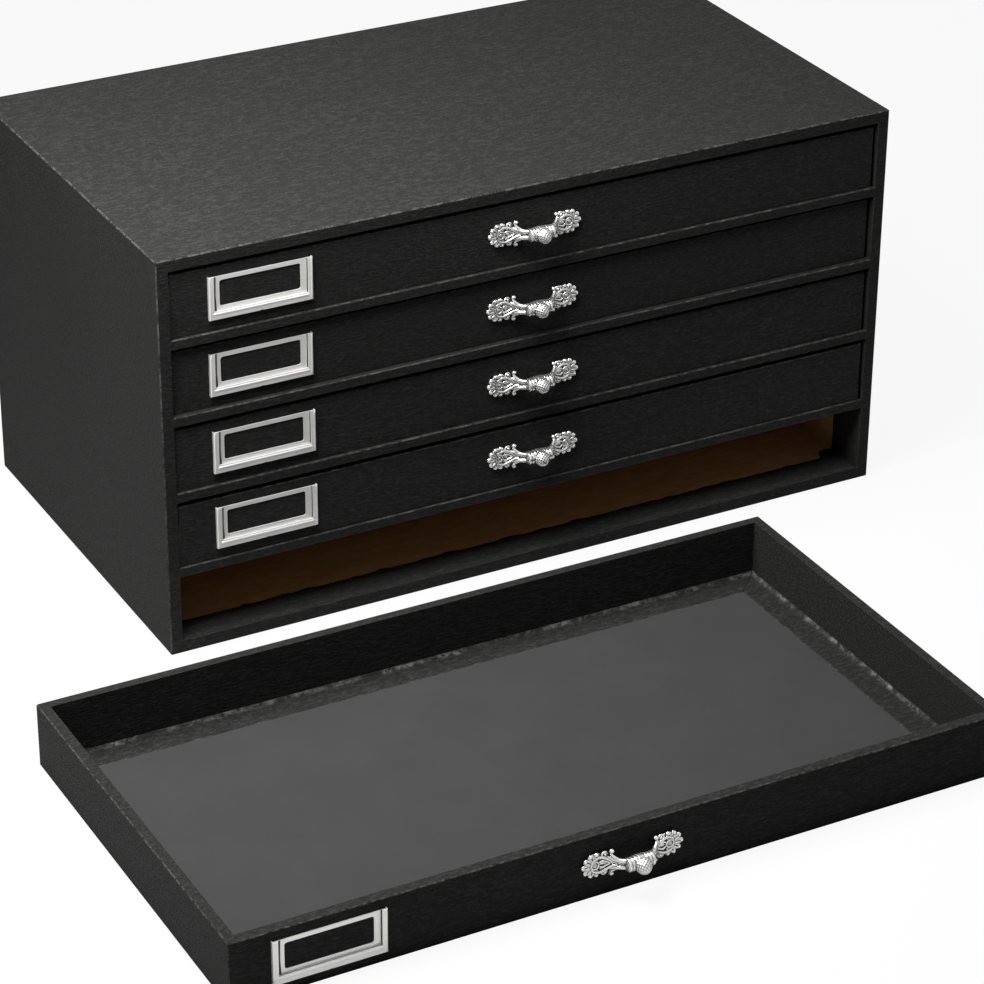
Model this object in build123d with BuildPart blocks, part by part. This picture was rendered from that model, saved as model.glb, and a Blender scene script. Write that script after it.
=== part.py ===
"""Craft stamp storage drawers.

A low cabinet of fibreboard covered in grained paper holds five shallow drawers. Four stand in their bays.
The bottom one has been taken out and stands on the table in front, a little to the left.

Millimetres, +Z up. The origin is at the centre of the cabinet's underside, and the drawers open towards -Y.
"""

from build123d import *
from math import cos, radians, sin
import os

# --- Cabinet -----------------------------------------------------------------------------------------------
case_width = 482.0
case_board = 6.6  # sides, top and back
floor_board = 7.2
shelf_board = 5.5
bay_height = 42.0  # clear height of each bay
bay_count = 5
paper = 0.4  # covering paper, everywhere
case_edge = 0.7  # chamfer on the edges of the covered case
board_edge = 0.46  # and on the boards inside it, which leaves the paper its thickness
side_turn_in = 30.0  # how far the paper is turned into a bay along its side walls
shelf_turn_in = 21.0  # and along its floor and ceiling

# --- Drawers -----------------------------------------------------------------------------------------------
drawer_depth = 253.0
depth_play = 6.0  # a bay is this much deeper than its drawer
side_play = 2.8  # this much wider
head_room = 2.9  # and this much is left above it
drawer_board = 5.4
drawer_floor = 3.0
drawer_edge = 0.6
wall_edge = 0.36
running_gap = 0.3  # between a drawer and the floor of its bay
drawer_shift = -0.7  # the drawers sit a little to the left in their bays
drawer_insets = [1.8, 3.6, 2.0, 1.2]  # how far each front stands back in its bay, from the top drawer down
floor_strip = 17.0  # width of the paper strip round the drawer's floor
liner_card = 0.8
removed_x = -119.8  # where the taken-out drawer stands
removed_gap = 72.7  # from the cabinet's front to its back

# --- Label holder ------------------------------------------------------------------------------------------
holder_width = 64.0
holder_height = 26.4
holder_left = 23.2  # from the drawer's left edge
holder_bottom = 6.7  # above the drawer's underside
holder_sheet = 0.6
card_slot = 1.0
plate_drop = 0.6  # the plate's top edge lies below the tops of the side lips
side_lip = 3.1
bottom_lip = 5.0
window_side = 7.1  # from the holder's side to its window
window_bottom = 7.5
window_top = 2.6  # from its window to the plate's top edge
window_round = 1.5
lip_edge = 0.35
notch_radius = 2.6  # shallow stamping notch in the middle of the lower edge
notch_depth = 0.5
tab_height = 3.0
tab_depth = 4.0  # how far the tabs at the back reach into the drawer's front
tab_from_side = 4.6
tab_gap = 0.05

# --- Handle ------------------------------------------------------------------------------------------------
handle_height = 21.0  # its middle above the drawer's underside
handle_offset = -2.6  # and beside the middle of the drawer's front
leaf_x = 21.5  # middle of each palmette, from the middle of the handle
fan_thickness = 1.5
petal_cusps = [0, 21, 50, 79, 108, 136]  # degrees from the palmette's tip to the notches between its petals
cusp_reach = [8.2, 7.3, 7.1, 7.1, 7.1, 6.6]  # from the palmette's middle to each notch
petal_reach = [9.5, 8.6, 8.2, 8.1, 7.8]  # and to each petal's end
petal_bluntness = 0.28  # of a petal's width, from each of its notches to the edge of its blunt end
groove_start = 3.6  # the grooves between the petals run from here to the rim
groove_width = 0.8
groove_depth = 0.8
heart_outline = [(22.6, 0), (20.4, 3.0), (17.2, 3.6), (12.4, 2.6)]  # the raised heart's upper half
heart_height = 2.1
neck_x = 12.4
neck_half = 2.8
scroll_x = 13.4
scroll_z = 8.1
arm_width = 1.7
arm_height = 2.6
strap_route = [(18.0, 1.0), (12.4, 4.3), (6.8, 8.7)]  # the strap's middle: along X, and out from the front
strap_thickness = 2.2
strap_inner_half = 3.5  # half its width at the bow
strap_outer_half = 4.4  # and at the palmette
strap_groove_half = 1.1
strap_groove_depth = 1.3
bow_lift = 9.4  # the bow's middle line, out from the drawer's front
collar_profile = [(2.1, 4.4), (2.6, 3.5), (3.1, 4.0), (7.8, 4.0)]  # from the middle of the bow, and radius
bud_lift = 11.2  # where the bud starts, out from the drawer's front
bud_rise = 1.8  # and above the handle's middle line
bud_droop = 40.0  # degrees below the horizontal
bud_radius = 5.1
bud_length = 8.8
bud_shoulder = 1.7  # chamfer where the bud leaves the bow
bud_tip = 2.9
bud_cheek = 1.8  # and a second one behind the tip's
bud_sides = 10

# --- Worked out from the sizes above -----------------------------------------------------------------------
LOW = (Align.MIN, Align.MIN, Align.MIN)
case_depth = drawer_depth + depth_play + case_board + paper
half_width = case_width / 2
front_y = -case_depth / 2
back_y = case_depth / 2
side_inner = half_width - paper - case_board  # bare inner face of a side board
bay_half = side_inner - paper  # half the clear width of a bay
core_front = front_y + paper
core_back = back_y - paper
back_inner = core_back - case_board
floor_top = paper + floor_board
shelf_total = shelf_board + 2 * paper
bay_pitch = bay_height + shelf_total
bay_floors = [floor_top + paper + bay_pitch * bay for bay in range(bay_count)]
ceiling_z = bay_floors[-1] + bay_height
top_under = ceiling_z + paper
core_top = top_under + case_board
case_height = core_top + paper

drawer_half = bay_half - side_play / 2
drawer_height = bay_height - running_gap - head_room
drawer_core_top = drawer_height - paper
wall_inner = drawer_board + paper  # from the outside of a drawer to the bare inner face of its wall
cavity_half = drawer_half - wall_inner
cavity_back = drawer_depth - wall_inner
strip_top = drawer_floor + paper
holder_rise = holder_sheet + card_slot  # underside of the folded lips, out from the drawer's front
holder_total = holder_rise + holder_sheet
holder_x = -drawer_half + holder_left
plate_top = holder_height - plate_drop
window_height = plate_top - window_bottom - window_top


def block(low: tuple, high: tuple, mode: Mode = Mode.ADD) -> None:
    """Add or cut a box between two corners."""
    with Locations(low):
        Box(high[0] - low[0], high[1] - low[1], high[2] - low[2], align=LOW, mode=mode)


def save(part: Part, name: str, place: Location = Location()) -> None:
    """Put a piece in its place, label it and write it."""
    placed = part.moved(place)
    placed.label = name
    export_step(placed, f"parts/{name}.step")


os.makedirs("parts", exist_ok=True)

# --- The case: boards, worn round at their outer edges -----------------------------------------------------
with BuildPart() as boards_envelope:
    block((-half_width + paper, core_front, paper), (half_width - paper, core_back, core_top))
    chamfer(boards_envelope.edges(), board_edge)

with BuildPart() as case_envelope:
    block((-half_width, front_y, 0), (half_width, back_y, case_height))
    chamfer(case_envelope.edges(), case_edge)

board_spans = {
    "left_board": ((-half_width + paper, core_front, paper), (-side_inner, core_back, core_top)),
    "right_board": ((side_inner, core_front, paper), (half_width - paper, core_back, core_top)),
    "bottom_board": ((-side_inner, core_front, paper), (side_inner, core_back, floor_top)),
    "top_board": ((-side_inner, core_front, top_under), (side_inner, core_back, core_top)),
    "back_board": ((-side_inner, back_inner, floor_top), (side_inner, core_back, top_under)),
}
for board_name, (board_low, board_high) in board_spans.items():
    with BuildPart() as case_board_part:
        block(board_low, board_high)
        add(boards_envelope.part, mode=Mode.INTERSECT)
    save(case_board_part.part, board_name)

# --- The shelves, counted from the top, and the paper folded round their front edges ------------------------
with BuildPart() as shelf:
    block((-side_inner, core_front, 0), (side_inner, back_inner, shelf_board))
    chamfer(shelf.edges().filter_by(Axis.X).group_by(Axis.Y)[0], wall_edge)

with BuildPart() as shelf_wrap:
    block((-bay_half, front_y, -paper), (bay_half, core_front + shelf_turn_in, shelf_board + paper))
    chamfer(shelf_wrap.edges().filter_by(Axis.X).group_by(Axis.Y)[0], drawer_edge)
    add(shelf.part, mode=Mode.SUBTRACT)

shelf_places = [Location((0, 0, floor - paper - shelf_board)) for floor in reversed(bay_floors[1:])]
for shelf_number, shelf_place in enumerate(shelf_places, start=1):
    save(shelf.part, f"shelf_{shelf_number}", shelf_place)

with BuildPart() as shelf_wraps:
    for shelf_place in shelf_places:
        add(shelf_wrap.part.moved(shelf_place))
save(shelf_wraps.part, "shelf_wraps")

# --- The covering paper: one sheet round the case, one behind and one underneath ---------------------------
with BuildPart() as case_cover:
    add(case_envelope.part)
    add(boards_envelope.part, mode=Mode.SUBTRACT)
    block((-half_width, front_y, 0), (half_width, back_y, paper), Mode.SUBTRACT)
    block((-half_width, core_back, 0), (half_width, back_y, case_height), Mode.SUBTRACT)
    block((-bay_half, front_y, bay_floors[0]), (bay_half, core_front, ceiling_z), Mode.SUBTRACT)
    for bay_floor in bay_floors:
        for side in (-side_inner, bay_half):
            low = (side, core_front, bay_floor - paper)
            block(low, (side + paper, core_front + side_turn_in, bay_floor + bay_height + paper))
    for flap_z in (floor_top, ceiling_z):
        block((-bay_half, core_front, flap_z), (bay_half, core_front + shelf_turn_in, flap_z + paper))
save(case_cover.part, "case_cover")

with BuildPart() as base_cover:
    add(case_envelope.part)
    block((-half_width, front_y, 0), (half_width, back_y, paper), Mode.INTERSECT)
    add(boards_envelope.part, mode=Mode.SUBTRACT)
save(base_cover.part, "base_cover")

with BuildPart() as back_cover:
    add(case_envelope.part)
    block((-half_width, core_back, paper), (half_width, back_y, case_height), Mode.INTERSECT)
    add(boards_envelope.part, mode=Mode.SUBTRACT)
save(back_cover.part, "back_cover")

# --- One drawer: front at y = 0, underside at z = 0, middle at x = 0 ---------------------------------------
with BuildPart() as walls_envelope:
    block((-drawer_half + paper, paper, 0), (drawer_half - paper, drawer_depth - paper, drawer_core_top))
    chamfer(walls_envelope.edges().filter_by(Axis.Z), wall_edge)
    chamfer(walls_envelope.edges().group_by(Axis.Z)[-1], wall_edge)

with BuildPart() as drawer_envelope:
    block((-drawer_half, 0, 0), (drawer_half, drawer_depth, drawer_height))
    chamfer(drawer_envelope.edges().filter_by(Axis.Z), drawer_edge)
    chamfer(drawer_envelope.edges().group_by(Axis.Z)[-1], drawer_edge)

# The slots in the drawer's front that take the label holder's tabs.
tab_low_z = window_bottom + (window_height - tab_height) / 2
with BuildPart() as tab_slots:
    for tab_x in (tab_from_side, holder_width - tab_from_side):
        slot_x = holder_x + tab_x - holder_sheet / 2 - tab_gap
        slot_z = holder_bottom + tab_low_z - tab_gap
        slot_width = holder_sheet + 2 * tab_gap
        slot_height = tab_height + 2 * tab_gap
        slot_high = (slot_x + slot_width, tab_depth + tab_gap, slot_z + slot_height)
        block((slot_x, 0, slot_z), slot_high)

with BuildPart() as drawer_front:
    block((-drawer_half, 0, 0), (drawer_half, wall_inner, drawer_height))
    add(walls_envelope.part, mode=Mode.INTERSECT)
    add(tab_slots.part, mode=Mode.SUBTRACT)

with BuildPart() as drawer_back:
    block((-drawer_half, cavity_back, 0), (drawer_half, drawer_depth, drawer_height))
    add(walls_envelope.part, mode=Mode.INTERSECT)

with BuildPart() as drawer_sides:
    for side in (-drawer_half, cavity_half):
        block((side, wall_inner, 0), (side + wall_inner, cavity_back, drawer_height))
    add(walls_envelope.part, mode=Mode.INTERSECT)

with BuildPart() as drawer_base:
    block((-cavity_half, wall_inner, 0), (cavity_half, cavity_back, drawer_floor))

liner_half = cavity_half - paper - floor_strip
liner_front = wall_inner + paper + floor_strip
liner_back = cavity_back - paper - floor_strip
with BuildPart() as drawer_liner:
    block((-liner_half, liner_front, drawer_floor), (liner_half, liner_back, drawer_floor + liner_card))

with BuildPart() as drawer_cover:
    add(drawer_envelope.part)
    add(walls_envelope.part, mode=Mode.SUBTRACT)
    block((-cavity_half, wall_inner, drawer_floor), (cavity_half, cavity_back, drawer_height))
    inner_low = (-cavity_half + paper, wall_inner + paper, strip_top)
    block(inner_low, (cavity_half - paper, cavity_back - paper, drawer_height), Mode.SUBTRACT)
    block((-liner_half, liner_front, 0), (liner_half, liner_back, drawer_height), Mode.SUBTRACT)
    add(tab_slots.part, mode=Mode.SUBTRACT)

# --- Label holder: a plate with a window, folded lips on three sides and two tabs behind -------------------
with BuildPart() as label_holder:
    with BuildSketch(Plane.XZ):
        with Locations((0, 0)):
            Rectangle(holder_width, plate_top, align=(Align.MIN, Align.MIN))
        with Locations((window_side, window_bottom)):
            window_width = holder_width - 2 * window_side
            with Locations((window_width / 2, window_height / 2)):
                RectangleRounded(window_width, window_height, window_round, mode=Mode.SUBTRACT)
    extrude(amount=holder_sheet)
    with BuildSketch(Plane.XZ):
        Rectangle(holder_width, holder_height, align=(Align.MIN, Align.MIN))
        with Locations((holder_sheet, holder_sheet)):
            inner_width = holder_width - 2 * holder_sheet
            Rectangle(inner_width, holder_height, align=(Align.MIN, Align.MIN), mode=Mode.SUBTRACT)
    extrude(amount=holder_rise)
    with BuildSketch(Plane.XZ.offset(holder_rise)):
        Rectangle(holder_width, holder_height, align=(Align.MIN, Align.MIN))
        with Locations((side_lip, bottom_lip)):
            inner_width = holder_width - 2 * side_lip
            Rectangle(inner_width, holder_height, align=(Align.MIN, Align.MIN), mode=Mode.SUBTRACT)
    extrude(amount=holder_sheet)
    rim = label_holder.edges().group_by(Axis.Y)[0]
    chamfer(rim.group_by(Axis.X)[0] + rim.group_by(Axis.X)[-1] + rim.group_by(Axis.Z)[0], lip_edge)
    with BuildSketch(Plane.XZ):
        with Locations((holder_width / 2, notch_depth - notch_radius)):
            Circle(notch_radius)
    extrude(amount=holder_total, mode=Mode.SUBTRACT)
    for tab_x in (tab_from_side, holder_width - tab_from_side):
        tab_left = tab_x - holder_sheet / 2
        block((tab_left, 0, tab_low_z), (tab_left + holder_sheet, tab_depth, tab_low_z + tab_height))

# --- Handle: cast in one, with a palmette at each end, grooved straps, ring collars and a hanging bud -------
def around_leaf(reach: float, degrees: float) -> tuple:
    """A point of the left palmette, by its distance from the middle and its angle from the outer tip."""
    turn = radians(degrees)
    return (-leaf_x - reach * cos(turn), reach * sin(turn))


upper_rim = []
for petal, reach in enumerate(petal_reach):
    near, far = petal_cusps[petal : petal + 2]
    blunt = (far - near) * petal_bluntness
    upper_rim.append(around_leaf(cusp_reach[petal], near))
    upper_rim.append(around_leaf(reach, near + blunt))
    upper_rim.append(around_leaf(reach, far - blunt))
upper_rim.append(around_leaf(cusp_reach[-1], petal_cusps[-1]))

with BuildPart() as palmette:
    with BuildSketch(Plane.XZ):
        with BuildLine():
            Polyline(*upper_rim, (-neck_x, neck_half), (-neck_x, 0))
            mirror(about=Plane.XZ)
        make_face()
    extrude(amount=fan_thickness)
    for groove_turn in [-turn for turn in petal_cusps[1:-1]] + petal_cusps[:-1]:
        turn = radians(groove_turn)
        groove_plane = Plane(
            origin=(-leaf_x, -fan_thickness, 0),
            x_dir=(0, -1, 0),
            z_dir=(-cos(turn), 0, sin(turn)),
        )
        with BuildSketch(groove_plane.offset(groove_start)):
            with BuildLine():
                Polyline((-groove_depth, 0), (0, groove_width / 2), (0, -groove_width / 2), close=True)
            make_face()
        extrude(amount=max(petal_reach), mode=Mode.SUBTRACT)
    with BuildSketch(Plane.XZ):
        with BuildLine():
            Polyline(*[(-x, z) for x, z in heart_outline], (-neck_x, 0))
            mirror(about=Plane.XZ)
        make_face()
    extrude(amount=heart_height)
    for turn in (-1, 1):
        with BuildSketch(Plane.XZ):
            with BuildLine():
                outer = Line((-neck_x - arm_width / 2, 0), (-scroll_x - arm_width / 2, turn * scroll_z))
                inner = Line((-neck_x + arm_width / 2, 0), (-scroll_x + arm_width / 2, turn * scroll_z))
                Line(outer @ 0, inner @ 0)
                Line(outer @ 1, inner @ 1)
            make_face()
        extrude(amount=arm_height)

strap_root, strap_bend, strap_end = (Vector(-along, -out) for along, out in strap_route)
strap_chord = (strap_end - strap_root).normalized()
strap_lean = strap_chord.rotate(Axis.Z, -90) * (strap_thickness / 2)
with BuildPart() as strap:
    with BuildSketch():
        with BuildLine():
            fore = ThreePointArc(strap_root + strap_lean, strap_bend + strap_lean, strap_end + strap_lean)
            rear = ThreePointArc(strap_root - strap_lean, strap_bend - strap_lean, strap_end - strap_lean)
            Line(fore @ 0, rear @ 0)
            Line(fore @ 1, rear @ 1)
        make_face()
    extrude(amount=strap_outer_half, both=True)
    with BuildSketch(Plane.XZ):
        Polygon(
            (strap_root.X - strap_thickness, -strap_outer_half),
            (strap_root.X - strap_thickness, strap_outer_half),
            (strap_end.X + strap_thickness, strap_inner_half),
            (strap_end.X + strap_thickness, -strap_inner_half),
            align=None,
        )
    extrude(amount=bow_lift * 2, mode=Mode.INTERSECT)
    groove_plane = Plane(origin=strap_root + strap_lean, x_dir=strap_lean.normalized(), z_dir=strap_chord)
    with BuildSketch(groove_plane):
        Polygon(
            (-strap_groove_depth, 0),
            (0, strap_groove_half),
            (0, -strap_groove_half),
            align=None,
        )
    extrude(amount=(strap_end - strap_root).length, mode=Mode.SUBTRACT)

droop = radians(bud_droop)
bud_plane = Plane(
    origin=(0, -bud_lift, bud_rise),
    x_dir=(1, 0, 0),
    z_dir=(0, -cos(droop), -sin(droop)),
)
with BuildPart() as bud:
    with BuildSketch(bud_plane):
        RegularPolygon(bud_radius, bud_sides)
    extrude(amount=bud_length)
    along_bud = Axis(bud_plane.origin, bud_plane.z_dir)
    chamfer(bud.faces().sort_by(along_bud)[0].edges(), bud_shoulder)
    chamfer(bud.faces().sort_by(along_bud)[-1].edges(), bud_tip)
    tip_faces = bud.faces().sort_by(along_bud)[-1 - bud_sides : -1]
    rear_edges = [face.edges().sort_by(along_bud)[0] for face in tip_faces]
    chamfer(rear_edges, bud_cheek)

with BuildPart() as handle:
    add(palmette.part)
    add(strap.part)
    mirror(about=Plane.YZ)
    block((-leaf_x, 0, -leaf_x), (leaf_x, leaf_x, leaf_x), Mode.SUBTRACT)
    with BuildSketch(Plane(origin=(0, -bow_lift, 0), x_dir=(1, 0, 0), z_dir=(0, -1, 0))):
        with BuildLine():
            left_profile = [(-along, radius) for along, radius in reversed(collar_profile)]
            ends = [(-collar_profile[-1][0], 0), (collar_profile[-1][0], 0)]
            Polyline(ends[0], *left_profile, *collar_profile, ends[1], close=True)
        make_face()
    revolve(axis=Axis((0, -bow_lift, 0), (1, 0, 0)))
    add(bud.part)

# --- The drawers, counted from the top: four in their bays and one standing in front -----------------------
handle_place = Location((handle_offset, 0, handle_height))
holder_place = Location((holder_x, 0, holder_bottom))
drawer_pieces = {
    "base": (drawer_base.part, Location()),
    "front": (drawer_front.part, Location()),
    "back": (drawer_back.part, Location()),
    "sides": (drawer_sides.part, Location()),
    "cover": (drawer_cover.part, Location()),
    "liner": (drawer_liner.part, Location()),
    "label_holder": (label_holder.part, holder_place),
    "handle": (handle.part, handle_place),
}
drawer_places = [
    Location((drawer_shift, front_y + inset, floor + running_gap))
    for floor, inset in zip(reversed(bay_floors[1:]), drawer_insets)
]
drawer_places.append(Location((removed_x, front_y - removed_gap - drawer_depth, 0)))
for drawer_number, drawer_place in enumerate(drawer_places, start=1):
    for piece_name, (piece, piece_place) in drawer_pieces.items():
        save(piece, f"drawer_{drawer_number}_{piece_name}", drawer_place * piece_place)
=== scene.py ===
"""Looks of the craft stamp storage drawers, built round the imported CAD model.

The covering paper, the raw board, the lining card and the cast and pressed metal each get a finish of their
own. Everything is in metres in the model's frame: X to the right, the drawers opening towards -Y, Z up.
"""

import logging
import math
from collections.abc import Callable
from dataclasses import dataclass, field
from enum import Enum

import bmesh
import bpy
import numpy as np
from mathutils import Matrix, Vector, noise

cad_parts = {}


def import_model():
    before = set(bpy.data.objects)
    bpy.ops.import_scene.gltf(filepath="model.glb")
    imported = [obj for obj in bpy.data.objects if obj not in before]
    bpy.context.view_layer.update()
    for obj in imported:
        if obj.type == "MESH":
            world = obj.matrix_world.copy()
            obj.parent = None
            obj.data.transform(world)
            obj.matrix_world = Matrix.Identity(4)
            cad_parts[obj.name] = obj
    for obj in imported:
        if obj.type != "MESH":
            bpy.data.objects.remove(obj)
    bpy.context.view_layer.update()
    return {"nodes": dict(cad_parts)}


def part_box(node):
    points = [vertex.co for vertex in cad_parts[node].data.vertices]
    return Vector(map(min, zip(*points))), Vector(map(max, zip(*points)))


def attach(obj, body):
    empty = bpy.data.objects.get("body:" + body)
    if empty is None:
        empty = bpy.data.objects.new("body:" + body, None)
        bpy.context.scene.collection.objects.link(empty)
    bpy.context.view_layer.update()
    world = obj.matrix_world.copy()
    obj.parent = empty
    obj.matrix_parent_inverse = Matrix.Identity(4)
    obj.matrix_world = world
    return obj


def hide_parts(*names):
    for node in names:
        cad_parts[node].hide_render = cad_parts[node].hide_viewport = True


log = logging.getLogger("stamp_drawers")
PHOTO_PIXELS = 984
DRAWERS = 5
WELD = 0.002  # millimetres within which two points of a CAD mesh are one
FLAT = 1.0  # degrees within which two faces are one
SHARP = 20.0  # degrees between the faces of an edge that is rounded
SEAT = 0.04  # millimetres that a casting's flat back stands off the paper
EDGE_WEAR = 0.4  # how far the colour of a paper's edges goes towards its rubbed colour


class Slot(Enum):
    """The record's material slots."""

    BOARD = "board"
    PAPER = "paper"
    LINER = "liner"
    NICKEL = "nickel"
    SILVER = "silver"


def metres(millimetres: float) -> float:
    """Turn millimetres into metres.

    Args:
        millimetres: A length.

    Returns:
        The same length in metres.
    """
    return millimetres / 1000.0


def made(mesh: bpy.types.Mesh, name: str, place: Vector, body: str) -> bpy.types.Object:
    """Put a mesh in the scene as a piece of the object.

    Args:
        mesh: Its mesh, in metres.
        name: The piece's name.
        place: Where its origin goes.
        body: The body that it moves with.

    Returns:
        The new object.
    """
    piece = bpy.data.objects.new(name, mesh)
    piece.location = place
    bpy.context.scene.collection.objects.link(piece)
    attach(piece, body)
    return piece


def softened(node: bpy.types.Object, name: str, rounding: float, steps: int) -> bpy.types.Mesh:
    """Copy a CAD node's mesh with its edges rounded.

    Args:
        node: The CAD node's object.
        name: The new mesh's name.
        rounding: How far in millimetres a rounding reaches from its edge.
        steps: How many flats a rounding has.

    Returns:
        The mesh, with an attribute for edge wear that is higher on its edges and corners and 0 on its flats.
    """
    shape = bmesh.new()
    shape.from_mesh(node.data)
    bmesh.ops.remove_doubles(shape, verts=shape.verts, dist=metres(WELD))
    bmesh.ops.dissolve_limit(shape, angle_limit=math.radians(FLAT), verts=shape.verts, edges=shape.edges)
    steep = math.radians(SHARP)
    sharp = [edge for edge in shape.edges if edge.is_manifold and edge.calc_face_angle() > steep]
    reach = metres(rounding)
    bmesh.ops.bevel(
        shape, geom=sharp, offset=reach, segments=steps, profile=0.5, affect="EDGES", clamp_overlap=True
    )
    bmesh.ops.triangulate(shape, faces=[face for face in shape.faces if len(face.verts) > 4])
    worn = shape.verts.layers.float.new("worn")
    for vertex in shape.verts:
        straight = any(max(abs(part) for part in face.normal) > 0.999 for face in vertex.link_faces)
        vertex[worn] = 0.0 if straight else EDGE_WEAR
    mesh = bpy.data.meshes.new(name)
    shape.to_mesh(mesh)
    shape.free()
    return mesh


class Shader:
    """A node material on one Principled shader, built by short calls."""

    def __init__(self, name: str, roughness: float, metallic: float = 0.0) -> None:
        """Start a material.

        Args:
            name: The material's name.
            roughness: The shader's plain roughness.
            metallic: 0 for paper and board, 1 for metal.
        """
        self.material = bpy.data.materials.new(name)
        self.material.use_nodes = True
        self.nodes = self.material.node_tree.nodes
        self.links = self.material.node_tree.links
        self.surface = self.nodes["Principled BSDF"]
        self.surface.inputs["Roughness"].default_value = roughness
        self.surface.inputs["Metallic"].default_value = metallic
        self.place = self.nodes.new("ShaderNodeTexCoord").outputs["Object"]

    def join(self, source: bpy.types.NodeSocket, target: bpy.types.NodeSocket) -> None:
        """Link two sockets.

        Args:
            source: An output.
            target: An input.
        """
        self.links.new(source, target)

    def stretched(self, scale: tuple[float, float, float]) -> bpy.types.NodeSocket:
        """Give the object's coordinates, scaled along each axis.

        Args:
            scale: Factors along X, Y and Z.

        Returns:
            A vector output.
        """
        mapping = self.nodes.new("ShaderNodeMapping")
        mapping.inputs["Scale"].default_value = scale
        self.join(self.place, mapping.inputs["Vector"])
        return mapping.outputs["Vector"]

    def noise(
        self,
        scale: float,
        detail: float = 4.0,
        roughness: float = 0.6,
        stretch: tuple[float, float, float] = (1.0, 1.0, 1.0),
    ) -> bpy.types.NodeSocket:
        """Make a noise pattern.

        Args:
            scale: Features per metre.
            detail: How many finer layers it has.
            roughness: How strong those layers are.
            stretch: Factors on the coordinates along X, Y and Z.

        Returns:
            A value output between 0 and 1.
        """
        pattern = self.nodes.new("ShaderNodeTexNoise")
        pattern.inputs["Scale"].default_value = scale
        pattern.inputs["Detail"].default_value = detail
        pattern.inputs["Roughness"].default_value = roughness
        self.join(self.stretched(stretch), pattern.inputs["Vector"])
        return pattern.outputs["Fac"]

    def attribute(self, name: str) -> bpy.types.NodeSocket:
        """Read a value stored on the mesh.

        Args:
            name: The attribute's name.

        Returns:
            A value output.
        """
        stored = self.nodes.new("ShaderNodeAttribute")
        stored.attribute_name = name
        return stored.outputs["Fac"]

    def band(self, value: bpy.types.NodeSocket, low: float, high: float) -> bpy.types.NodeSocket:
        """Spread a value so that low becomes 0 and high becomes 1, and clamp it.

        Args:
            value: The value to spread.
            low: What becomes 0.
            high: What becomes 1.

        Returns:
            A value output.
        """
        spread = self.nodes.new("ShaderNodeMapRange")
        spread.inputs["From Min"].default_value = low
        spread.inputs["From Max"].default_value = high
        self.join(value, spread.inputs["Value"])
        return spread.outputs["Result"]

    def blend(
        self,
        amount: bpy.types.NodeSocket,
        first: tuple[float, float, float] | bpy.types.NodeSocket,
        second: tuple[float, float, float] | bpy.types.NodeSocket,
    ) -> bpy.types.NodeSocket:
        """Mix two colours.

        Args:
            amount: 0 gives the first colour and 1 the second.
            first: A colour or a colour output.
            second: A colour or a colour output.

        Returns:
            A colour output.
        """
        mix = self.nodes.new("ShaderNodeMix")
        mix.data_type = "RGBA"
        self.join(amount, mix.inputs["Factor"])
        for socket, colour in ((mix.inputs["A"], first), (mix.inputs["B"], second)):
            if isinstance(colour, tuple):
                socket.default_value = (*colour, 1.0)
            else:
                self.join(colour, socket)
        return mix.outputs["Result"]

    def sums(
        self, kind: str, first: bpy.types.NodeSocket, second: bpy.types.NodeSocket | float
    ) -> bpy.types.NodeSocket:
        """Do a sum on two values.

        Args:
            kind: One of Blender's math operations, such as MULTIPLY.
            first: The first value.
            second: The second value.

        Returns:
            A value output.
        """
        node = self.nodes.new("ShaderNodeMath")
        node.operation = kind
        self.join(first, node.inputs[0])
        if isinstance(second, float):
            node.inputs[1].default_value = second
        else:
            self.join(second, node.inputs[1])
        return node.outputs["Value"]

    def bump(self, height: bpy.types.NodeSocket, depth: float, strength: float = 1.0) -> None:
        """Roughen the surface; calls add up.

        Args:
            height: The relief, between 0 and 1.
            depth: Its depth in metres.
            strength: How much of it shows.
        """
        relief = self.nodes.new("ShaderNodeBump")
        relief.inputs["Strength"].default_value = strength
        relief.inputs["Distance"].default_value = depth
        self.join(height, relief.inputs["Height"])
        normal = self.surface.inputs["Normal"]
        if normal.is_linked:
            self.join(normal.links[0].from_socket, relief.inputs["Normal"])
        self.join(relief.outputs["Normal"], normal)


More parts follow.
